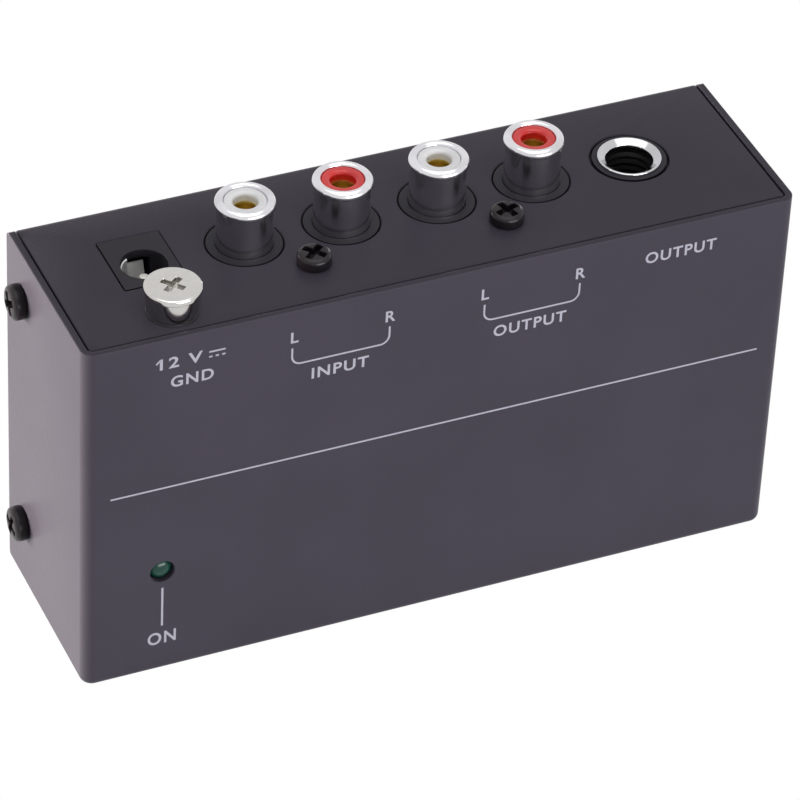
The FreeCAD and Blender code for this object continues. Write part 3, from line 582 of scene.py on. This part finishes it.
pan_screws("jack_panel_screws", "jack_screws", jack_places, "Z", (math.radians(40), math.radians(18)),
           (JACK_SCREW_HEAD, PAN_HEIGHT, *JACK_SHANK))

# Phono sockets: black moulded blocks behind the panel, nickel shells with a rolled rim, moulded
# insulators in white for left and red for right, and gold split sleeves that grip the plug's pin.
def dress(finish, *nodes):
    """Gives CAD nodes whose shape is right their finish."""
    for node in nodes:
        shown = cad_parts[node]
        shown.data.materials.clear()
        shown.data.materials.append(finish.material)


MOULD_SKIN = 0.00001
TURNING_STRETCH = 60.0
TURNING_SCALE = 220.0
black_moulding = Finish("black_moulding", roughness=0.45, specular_ior_level=0.15)
mould_skin = black_moulding.drift(0.0006, (0.020, 0.018, 0.024), (0.026, 0.023, 0.030))
black_moulding.feed("Roughness", mould_skin * 0.2 + 0.33)
black_moulding.bump(mould_skin, MOULD_SKIN)
dress(black_moulding, "input_socket_block", "output_socket_block", "phone_jack_housing",
      "power_socket_housing", "lamp_spacer")

nickel = Finish("bright_nickel", metallic=1.0, roughness=0.16)
nickel.drift(0.004, (0.72, 0.71, 0.74), (0.60, 0.59, 0.61), 3.0, (0.35, 0.75))
stretched = nickel.node("ShaderNodeMapping", {},
                        {"Vector": nickel.place, "Scale": (1.0, 1.0, TURNING_STRETCH)})
turning = nickel.node("ShaderNodeTexNoise", {}, {"Vector": stretched, "Scale": TURNING_SCALE})
nickel.feed("Roughness", turning * 0.025 + 0.19)


def turned(name, section, place, finish, sides, **parts):
    """A piece turned on a lathe, standing upright on a place in the plan."""
    points, faces = lathe(section, sides)
    piece(name, stand(points, (place[0], place[1], 0)), faces, finish, **parts)


SHELL_RIM = 4.15
SHELL_BARREL = 3.9
SHELL_INSIDE = 2.92
RIM_HEIGHT = 1.3
INSULATOR_RADIUS = 2.9
PIN_BORE = 1.65
for name, place in zip(shell_names, shell_places):
    _, shell_low, shell_high = node_middle(f"{name}_shell")
    top = shell_high[2]
    shell_section = rounded_line(
        [(SHELL_INSIDE, shell_low[2]), (SHELL_BARREL, shell_low[2]), (SHELL_BARREL, top - RIM_HEIGHT),
         (SHELL_RIM, top - RIM_HEIGHT + 0.12), (SHELL_RIM, top), (SHELL_INSIDE, top)],
        [0.02, 0.1, 0.12, 0.3, 0.72, 0.45], 10)
    turned(f"{name}_socket_shell", shell_section, place, nickel, 128, replaces=[f"{name}_shell"],
           slot="bright_nickel")


def moulded_colour(name, colour, shadow):
    """Glossy moulded insulator plastic with a very slight unevenness."""
    finish = Finish(name, roughness=0.3, coat_weight=0.25, coat_roughness=0.2)
    cloud = finish.drift(0.0025, colour, shadow, edges=(0.3, 0.7))
    finish.feed("Roughness", cloud * 0.15 + 0.22)
    return finish


BOSS_RADIUS = 5.2
BOSS_BORE = 3.95
BOSS_HEIGHT = 2
BOSS_DROP = 0.04
boss_low = panel_top - BOSS_HEIGHT
boss_high = panel_top - BOSS_DROP
boss_section = rounded_line([(BOSS_BORE, boss_low), (BOSS_RADIUS, boss_low), (BOSS_RADIUS, boss_high),
                             (BOSS_BORE, boss_high)], [0, 0, 0.12, 0.05], 5)
for name, place in zip(shell_names, shell_places):
    turned(f"{name}_socket_boss", boss_section, place, black_moulding, 112, slot="black_moulding")
POCKET_RADIUS = 1.97
POCKET_OVER = 0.1
POCKET_UNDER = 0.05
insulator_finish = {"left": moulded_colour("white_insulator", (0.93, 0.93, 0.94), (0.87, 0.87, 0.88)),
                    "right": moulded_colour("red_insulator", (0.80, 0.022, 0.02), (0.70, 0.014, 0.015))}
for name, place in zip(shell_names, shell_places):
    _, insulator_low, insulator_high = node_middle(f"{name}_insulator")
    base, top = insulator_low[2], insulator_high[2]
    _, contact_low, contact_high = node_middle(f"{name}_contact")
    pocket_low, pocket_high = contact_low[2] - POCKET_UNDER, contact_high[2] + POCKET_OVER
    insulator_section = rounded_line(
        [(0, base), (INSULATOR_RADIUS, base), (INSULATOR_RADIUS, top), (PIN_BORE, top),
         (PIN_BORE, pocket_high), (POCKET_RADIUS, pocket_high), (POCKET_RADIUS, pocket_low),
         (0, pocket_low)], [0, 0.1, 0.22, 0.62, 0.05, 0.02, 0.02, 0], 9)
    side = name.split("_")[1]
    turned(f"{name}_socket_insulator", insulator_section, place, insulator_finish[side], 112,
           replaces=[f"{name}_insulator"], slot="white_moulding" if side == "left" else "red_moulding")

gold = Finish("gold_contact", metallic=1.0, roughness=0.28)
gold.drift(0.0012, (0.60, 0.46, 0.15), (0.44, 0.33, 0.09))
SLEEVE_DROP = 1.35
SLEEVE_BORE = 1.4
SLEEVE_LIP = 1.52
LIP_DEPTH = 0.25
FLOOR_DROP = 1.6
FLOOR_THICK = 0.3
for name, place in zip(shell_names, shell_places):
    low, high = node_middle(f"{name}_contact")[1][2], node_middle(f"{name}_insulator")[2][2] - SLEEVE_DROP
    sleeve_section = [(SLEEVE_BORE, low), (PIN_BORE, low), (PIN_BORE, high), (SLEEVE_LIP, high),
                      (SLEEVE_BORE, high - LIP_DEPTH)]
    turned(f"{name}_socket_sleeve", sleeve_section, place, gold, 64, replaces=[f"{name}_contact"],
           slot="contact_brass")
    floor_low = high - FLOOR_DROP
    floor_section = [(0, floor_low), (SLEEVE_BORE, floor_low), (SLEEVE_BORE, floor_low + FLOOR_THICK),
                     (0, floor_low + FLOOR_THICK)]
    turned(f"{name}_socket_floor", floor_section, place, gold, 48, slot="contact_brass")

# Quarter inch jack: its black collar fills the panel hole, and in it sits a polished ferrule with a
# countersunk mouth over a black threaded throat. Two sprung leaves inside touch the plug.
thread_black = Finish("thread_black", roughness=0.3)
thread_black.drift(0.001, (0.01, 0.01, 0.011), (0.02, 0.019, 0.02))
chrome = Finish("polished_chrome", metallic=1.0, roughness=0.1)
chrome_haze = chrome.drift(0.003, (0.60, 0.60, 0.61), (0.46, 0.46, 0.48), 3.0)
chrome.feed("Roughness", chrome_haze * 0.12 + 0.06)
FERRULE_OUTSIDE = 4.45
FERRULE_MOUTH = 4.2
FERRULE_SHOWN = 1.3
THREAD_PITCH = 1.1
THREAD_DEPTH = 0.2
THREAD_TURNS = 9
PHONE_BORE = 3.25
CONE_SLOPE = 0.05
CONE_DEPTH = 0.55
MOUTH_DEPTH = 0.9
mouth = ferrule_high[2]
thread_top = mouth - FERRULE_SHOWN
ferrule_section = rounded_line(
    [(PHONE_BORE, thread_top), (FERRULE_OUTSIDE, thread_top), (FERRULE_OUTSIDE, mouth),
     (FERRULE_MOUTH, mouth), (PHONE_BORE + CONE_SLOPE, mouth - CONE_DEPTH),
     (PHONE_BORE, mouth - MOUTH_DEPTH)], [0.05, 0.05, 0.16, 0.08, 0.2, 0.1], 8)
turned("phone_jack_mouth", ferrule_section, ferrule_middle, chrome, 144,
       replaces=["phone_jack_ferrule"], slot="bright_chrome")
ridges = [(PHONE_BORE + THREAD_DEPTH * (step % 2), thread_top - THREAD_PITCH / 2 * step)
          for step in range(2 * THREAD_TURNS)]
thread_section = [(FERRULE_OUTSIDE, thread_top)] + ridges + [(FERRULE_OUTSIDE, ridges[-1][1])]
turned("phone_jack_thread", thread_section, ferrule_middle, thread_black, 96, slot="black_moulding")

# Power socket: a square moulding with a round mouth, a plated centre pin, one sprung leaf at its side
# and, fixed against the wall, a curved lining of bright sheet. The leaf and the lining are near white,
# part plating and part painted sheen that keeps them bright deep in the socket. The other plated parts
# follow it.
LINING_RADIUS = 3.18
LINING_THICK = 0.2
LINING_BEVEL = 0.08
LINING_FOOT = 9.5
LINING_TOP = 0.65
LINING_SHOULDER = 0.75
LINING_FROM = math.radians(118)
LINING_TO = math.radians(215)
# Near-white colour, only partly metallic: besides the plating's own brightness, its diffuse white share is a
# painted sheen that keeps the leaf and the lining lit deep inside the socket.
spring_plating_and_painted_sheen = Finish("spring_plating_painted_sheen", metallic=0.6, roughness=0.45)
spring_plating_and_painted_sheen.drift(0.001, (0.95, 0.95, 0.95), (0.88, 0.87, 0.86))
dress(spring_plating_and_painted_sheen, "power_socket_spring")
lining_middle = node_middle("power_socket_pin")[0]
sweep = np.linspace(LINING_FROM, LINING_TO, 28)[:, None]
lining_inside = LINING_RADIUS - LINING_THICK
lining_section = ((lining_inside, LINING_FOOT), (LINING_RADIUS, LINING_FOOT),
                  (LINING_RADIUS, LINING_SHOULDER), (LINING_RADIUS - LINING_BEVEL, LINING_TOP),
                  (lining_inside, LINING_SHOULDER))
lining_rows = [np.hstack([lining_middle[0] + radius * np.cos(sweep),
                          lining_middle[1] + radius * np.sin(sweep), panel_top - drop + 0 * sweep])
               for radius, drop in lining_section]
lining_points = len(lining_section) * len(sweep)
lining_faces = [tuple(face) for face in grid_faces(len(lining_section), len(sweep), closed_columns=False,
                                                   closed_rows=True)]
lining_faces += [tuple(range(0, lining_points, len(sweep))),
                 tuple(range(len(sweep) - 1, lining_points, len(sweep)))[::-1]]
piece("power_socket_lining", np.concatenate(lining_rows), lining_faces, spring_plating_and_painted_sheen, slot="contact_silver")
tinned = Finish("tinned_contact", metallic=1.0, roughness=0.3)
tin_spots = tinned.drift(0.0015, (0.74, 0.72, 0.68), (0.60, 0.58, 0.54))
tinned.feed("Roughness", tin_spots * 0.2 + 0.2)
dress(tinned, "phone_jack_tip_spring", "phone_jack_ring_spring", "phone_jack_tip_anchor",
      "phone_jack_ring_anchor", "power_socket_pin", "ground_lug", "lamp_leads")

# Ground screw: a big nickel plated terminal screw with a flange at its top and a deep cross recess,
# over a plated washer. Behind the panel are its nut, the lug and the green wire to the board.
GROUND_BODY = 3.6
GROUND_FLANGE = 3.95
GROUND_HEAD = 3.8
GROUND_UNDER = 0.85
GROUND_NECK = 0.95
GROUND_SHANK = 1.95
GROUND_LENGTH = 8.2
GROUND_RECESS = (0.5, 1.75, 0.9)
ground_seat = ground_high[2] - GROUND_HEAD
satin_nickel = Finish("satin_nickel", metallic=1.0, roughness=0.24)
lathe_marks = satin_nickel.drift(0.0007, (0.62, 0.61, 0.59), (0.53, 0.51, 0.49), 3.0)
satin_nickel.feed("Roughness", lathe_marks * 0.10 + 0.09)
ground_edges = rounded_line(
    [(0, GROUND_HEAD), (GROUND_FLANGE, GROUND_HEAD), (GROUND_FLANGE, GROUND_HEAD - GROUND_UNDER),
     (GROUND_BODY, GROUND_HEAD - GROUND_NECK), (GROUND_BODY, 0), (GROUND_SHANK, 0),
     (GROUND_SHANK, -GROUND_LENGTH)], [0, 0.34, 0.12, 0.1, 0.1, 0.05, 0], 7, closed=False)
points, faces = recessed_head(ground_edges, GROUND_RECESS, math.radians(40), rows=60, sides=224)
piece("ground_terminal_screw", stand(points, (ground_middle[0], ground_middle[1], ground_seat)), faces,
      satin_nickel, body="ground_screw_turning", replaces=["ground_screw"], slot="bright_nickel")
zinc = Finish("zinc_plate", metallic=1.0, roughness=0.35)
zinc.drift(0.0014, (0.60, 0.61, 0.62), (0.48, 0.49, 0.50))
dress(satin_nickel, "ground_washer")
dress(zinc, "ground_nut", "board_screws", "board_spacers")
green_sleeve = Finish("green_wire_sleeve", roughness=0.4)
green_sleeve.drift(0.002, (0.02, 0.22, 0.04), (0.015, 0.17, 0.03))
dress(green_sleeve, "ground_wire")

# Power lamp: a 3 mm diode in dark green tinted resin, its dome just inside the hole in the front.
lamp_resin = Finish("green_lamp_resin", roughness=0.2, specular_ior_level=0.3)
lamp_resin.drift(0.0011, (0.005, 0.050, 0.036), (0.004, 0.031, 0.022))
LAMP_DOME = 1.67
DOME_RISE = 1.05
LAMP_FLANGE = 1.9
FLANGE_THICK = 1
dome = [(LAMP_DOME * math.cos(a), lamp_low[1] + DOME_RISE * (1 - math.sin(a)))
        for a in np.linspace(math.pi / 2, 0, 14)]
dome[0] = (0, lamp_low[1])
flange_front = lamp_high[1] - FLANGE_THICK
lamp_section = dome + [(LAMP_DOME, flange_front), (LAMP_FLANGE, flange_front),
                       (LAMP_FLANGE, lamp_high[1]), (0, lamp_high[1])]
points, faces = lathe([(radius, -depth) for radius, depth in lamp_section], 64)
piece("power_lamp", stand(points, (lamp_middle[0], 0, lamp_middle[2]), "-Y"), [face[::-1] for face in faces],
      lamp_resin, replaces=["lamp_lens"], slot="green_lens")

# Lettering: pale grey ink, screen printed on the front: the ratings, the channel letters with their
# brackets, the lamp's mark and a long rule. Words are in a plain face, lines are of constant width.
INK_PROUD = 0.01
INK_BURIED = 0.02
front_face = cover_low[1]
ink = Finish("screen_print_ink", roughness=0.5)
ink.drift(0.0004, (0.375, 0.37, 0.44), (0.32, 0.315, 0.375))


def printed(name, outlines):
    """Flat ink shapes, each a closed outline of X and Z, given a thin edge down into the paint."""
    shapes = []
    for outline in outlines:
        count = len(outline)
        points = np.concatenate([np.column_stack([outline[:, 0], np.full(count, depth), outline[:, 1]])
                                 for depth in (front_face - INK_PROUD, front_face + INK_BURIED)])
        faces = [tuple(range(count)), tuple(range(count, 2 * count))[::-1]]
        for index in range(count):
            after = (index + 1) % count
            faces.append((index, count + index, count + after, after))
        shapes.append((points, faces))
    piece(name, *joined(shapes), ink, slot="case_paint")


def stroke(corners, width):
    """A line of constant width through corners: each corner moves sideways along its mitre."""
    corners = np.asarray(corners, float)
    run = np.diff(corners, axis=0)
    run /= np.linalg.norm(run, axis=1)[:, None]
    side = np.column_stack([-run[:, 1], run[:, 0]])
    mitre = np.concatenate([side[:1], side[:-1] + side[1:], side[-1:]])
    mitre[1:-1] /= (1 + np.sum(side[:-1] * side[1:], axis=1))[:, None]
    return np.concatenate([corners - mitre * width / 2, (corners + mitre * width / 2)[::-1]])


CAPITAL_SHARE = 0.729
LETTER_WEIGHT = 0.019
LETTER_SPACING = 1.16


def words(name, lines):
    """Text in the plain built-in face, thickened a little: X is scaled to span the given width about
    its centre, the height to the given capitals, and the letters' depth to the ink's."""
    blocks = []
    for text, centre_x, base_z, tall, wide in lines:
        curve = bpy.data.curves.new(name, "FONT")
        curve.body = text
        curve.resolution_u = 8
        curve.extrude = 1
        curve.offset = LETTER_WEIGHT
        curve.space_character = LETTER_SPACING
        letters = bpy.data.objects.new(name, curve)
        bpy.context.scene.collection.objects.link(letters)
        bpy.context.view_layer.update()
        block = bpy.data.meshes.new_from_object(letters.evaluated_get(bpy.context.evaluated_depsgraph_get()))
        bpy.data.objects.remove(letters)
        spots = np.empty(len(block.vertices) * 3)
        block.vertices.foreach_get("co", spots)
        spots = spots.reshape(-1, 3)
        low, high = spots.min(0), spots.max(0)
        x = (spots[:, 0] - (low[0] + high[0]) / 2) * wide / (high[0] - low[0]) + centre_x
        y = front_face + (INK_BURIED - INK_PROUD) / 2 - spots[:, 2] * (INK_BURIED + INK_PROUD) / 2
        blocks.append((np.column_stack([x, y, spots[:, 1] * tall / CAPITAL_SHARE + base_z]),
                       [tuple(polygon.vertices) for polygon in block.polygons]))
    piece(name, *joined(blocks), ink, slot="case_paint")


CAPITALS = 1.8
LAMP_CAPITALS = 2.1
words("legend_words", [
    ("12 V", -38.0, 52.2, CAPITALS, 6.0),
    ("GND", -36.4, 48.95, CAPITALS, 6.0),
    ("L", -22.0, 51.75, CAPITALS, 1.1),
    ("R", -8.3, 51.7, CAPITALS, 1.4),
    ("INPUT", -15.3, 45.05, CAPITALS, 8.2),
    ("L", 5.45, 51.75, CAPITALS, 1.1),
    ("R", 19.45, 51.7, CAPITALS, 1.4),
    ("OUTPUT", 12.35, 45.05, CAPITALS, 10.7),
    ("OUTPUT", 34.4, 51.6, CAPITALS, 10.6),
    ("ON", -40.2, 5.0, LAMP_CAPITALS, 4.1)])
LINE = 0.26
LAMP_LINE = 0.3
BRACKET_CORNER = 1.3
BRACKET_FOOT, BRACKET_TOP = 48.1, 50.85
legend_strokes = []
for left, right in ((-22.3, -8.35), (5.42, 19.42)):
    bracket = [(left, BRACKET_TOP), (left, BRACKET_FOOT), (right, BRACKET_FOOT), (right, BRACKET_TOP)]
    rounded_bracket = rounded_line(bracket, [0, BRACKET_CORNER, BRACKET_CORNER, 0], 8, closed=False)
    legend_strokes.append(stroke(rounded_bracket, LINE))
DC_LEFT, DC_RIGHT, DC_TOP, DC_DASH = -34.1, -31.8, 53.4, 52.6
dash = (DC_RIGHT - DC_LEFT) / 5
legend_strokes.append(stroke([(DC_LEFT, DC_TOP), (DC_RIGHT, DC_TOP)], LINE))
for step in range(3):
    dash_start, dash_end = DC_LEFT + dash * 2 * step, DC_LEFT + dash * (2 * step + 1)
    legend_strokes.append(stroke([(dash_start, DC_DASH), (dash_end, DC_DASH)], LINE))
printed("legend_lines", legend_strokes + [
    stroke([(-41.5, 53.2), (-40.95, 53.78)], LINE),
    stroke([(-47.75, 32.2), (47.7, 32.2)], LINE),
    stroke([(lamp_middle[0], 14.8), (lamp_middle[0], 8.1)], LAMP_LINE)])

# Feet: four pressed rubber feet on the base plate, on the side away from the lettering.
RUBBER_GRAIN = 0.00003
foot_rubber = Finish("foot_rubber", roughness=0.75)
rubber_dust = foot_rubber.drift(0.0015, (0.012, 0.012, 0.012), (0.03, 0.03, 0.029))
foot_rubber.bump(rubber_dust, RUBBER_GRAIN)
FOOT_RADIUS = 4.0
FOOT_TAPER = 0.82
DIMPLE_RIM = 1.6
DIMPLE_FLOOR = 1.2
DIMPLE_DEPTH = 0.5
_, foot_low, foot_high = node_middle("rubber_feet")
tall = foot_high[1] - foot_low[1]
foot_section = rounded_line(
    [(0, 0), (FOOT_RADIUS, 0), (FOOT_RADIUS * FOOT_TAPER, tall), (DIMPLE_RIM, tall),
     (DIMPLE_FLOOR, tall - DIMPLE_DEPTH), (0, tall - DIMPLE_DEPTH)], [0, 0.2, 0.6, 0.2, 0.2, 0], 6)
feet = []
for x in (foot_low[0] + FOOT_RADIUS, foot_high[0] - FOOT_RADIUS):
    for z in (foot_low[2] + FOOT_RADIUS, foot_high[2] - FOOT_RADIUS):
        points, faces = lathe(foot_section, 72)
        points = stand(points, (0, 0, 0), "-Y") * (1, -1, 1) + (x, foot_low[1], z)
        feet.append((points, [face[::-1] for face in faces]))
piece("pressed_feet", *joined(feet), foot_rubber, replaces=["rubber_feet"], slot="foot_rubber")

# Circuit board and what stands on it, all hidden by the case: green solder mask, sleeved cans,
# moulded film capacitors, epoxy chips and lacquered resistors.
def two_tone(name, first, second, grain, roughness):
    """A plain finish that drifts between two near colours."""
    finish = Finish(name, roughness=roughness)
    drift = finish.drift(grain, first, second)
    finish.feed("Roughness", drift * 0.1 + (roughness - 0.05))
    return finish


dress(two_tone("board_mask", (0.01, 0.09, 0.03), (0.015, 0.13, 0.045), 0.006, 0.4), "circuit_board")
dress(two_tone("can_sleeves", (0.02, 0.02, 0.05), (0.03, 0.03, 0.07), 0.003, 0.35), "filter_capacitors",
      "coupling_capacitors")
dress(two_tone("film_moulding", (0.42, 0.06, 0.02), (0.5, 0.09, 0.03), 0.002, 0.3), "film_capacitors")
dress(two_tone("chip_epoxy", (0.012, 0.012, 0.013), (0.02, 0.02, 0.02), 0.001, 0.55), "amplifier_chips",
      "voltage_regulator")
dress(two_tone("resistor_lacquer", (0.10, 0.26, 0.42), (0.14, 0.32, 0.48), 0.0015, 0.3), "resistors")

# Studio: a pale floor and a white surround, both plain white to the camera and in reflections, and
# soft panels over the top, in front and low behind the left side, whose panel is the strongest.
FLOOR_HALF = 3.0
FLOOR_TONE = 0.9
FLOOR_ROUGHNESS = 0.9
SURROUND_LIGHT = 0.3
PLAIN_WHITE = 1.0
PANEL_AIM = (0, 0, 0.03)
floor_mesh = bpy.data.meshes.new("studio_floor")
floor_mesh.from_pydata([(-FLOOR_HALF, -FLOOR_HALF, 0), (FLOOR_HALF, -FLOOR_HALF, 0),
                        (FLOOR_HALF, FLOOR_HALF, 0), (-FLOOR_HALF, FLOOR_HALF, 0)], [], [(0, 1, 2, 3)])
floor = bpy.data.objects.new("studio_floor", floor_mesh)
bpy.context.scene.collection.objects.link(floor)
floor_look = bpy.data.materials.new("pale_floor")
floor_look.use_nodes = True
floor_tree = floor_look.node_tree
floor_shader = floor_tree.nodes["Principled BSDF"]
floor_shader.inputs["Base Color"].default_value = (FLOOR_TONE, FLOOR_TONE, FLOOR_TONE, 1)
floor_shader.inputs["Roughness"].default_value = FLOOR_ROUGHNESS


def white_to_rays(tree, lit_side, white_side):
    """Mixes from the lit side to plain white by the greatest of Is Camera, Is Glossy and Is
    Transmission Ray."""
    path = tree.nodes.new("ShaderNodeLightPath")
    seen = path.outputs["Is Camera Ray"]
    for ray in ("Is Glossy Ray", "Is Transmission Ray"):
        greatest = tree.nodes.new("ShaderNodeMath")
        greatest.operation = "MAXIMUM"
        tree.links.new(seen, greatest.inputs[0])
        tree.links.new(path.outputs[ray], greatest.inputs[1])
        seen = greatest.outputs[0]
    mix = tree.nodes.new("ShaderNodeMixShader")
    tree.links.new(seen, mix.inputs[0])
    tree.links.new(lit_side, mix.inputs[1])
    tree.links.new(white_side, mix.inputs[2])
    return mix.outputs[0]


world = bpy.data.worlds.new("studio_surround")
bpy.context.scene.world = world
world.use_nodes = True
world_tree = world.node_tree
plain = world_tree.nodes["Background"]
plain.inputs["Color"].default_value = (1, 1, 1, 1)
plain.inputs["Strength"].default_value = SURROUND_LIGHT
bright = world_tree.nodes.new("ShaderNodeBackground")
bright.inputs["Color"].default_value = (1, 1, 1, 1)
bright.inputs["Strength"].default_value = PLAIN_WHITE
world_look = white_to_rays(world_tree, plain.outputs[0], bright.outputs[0])
world_tree.links.new(world_look, world_tree.nodes["World Output"].inputs["Surface"])


def soft_panel(name, where, width, height, watts, colour=(1, 1, 1), mirrored=True):
    """A rectangular lamp aimed at the object, which shows in reflections or only lights."""
    data = bpy.data.lights.new(name, "AREA")
    data.shape = "RECTANGLE"
    data.size = width
    data.size_y = height
    data.energy = watts
    data.color = colour
    panel = bpy.data.objects.new(name, data)
    bpy.context.scene.collection.objects.link(panel)
    panel.location = where
    panel.visible_glossy = mirrored
    panel.rotation_euler = (Vector(PANEL_AIM) - Vector(where)).to_track_quat("-Z", "Y").to_euler()


soft_panel("overhead_panel", (0.0, -0.1, 0.9), 0.9, 0.9, 3.4)
soft_panel("front_panel", (0.25, -0.9, 0.10), 0.8, 0.3, 8.0)
soft_panel("left_panel", (-0.6, 0.35, 0.03), 0.6, 0.12, 30, colour=(1, 0.94, 0.80), mirrored=False)
floor_white = floor_tree.nodes.new("ShaderNodeEmission")
floor_white.inputs["Strength"].default_value = PLAIN_WHITE
floor_surface = white_to_rays(floor_tree, floor_shader.outputs[0], floor_white.outputs[0])
floor_tree.links.new(floor_surface, floor_tree.nodes["Material Output"].inputs["Surface"])
floor_mesh.materials.append(floor_look)
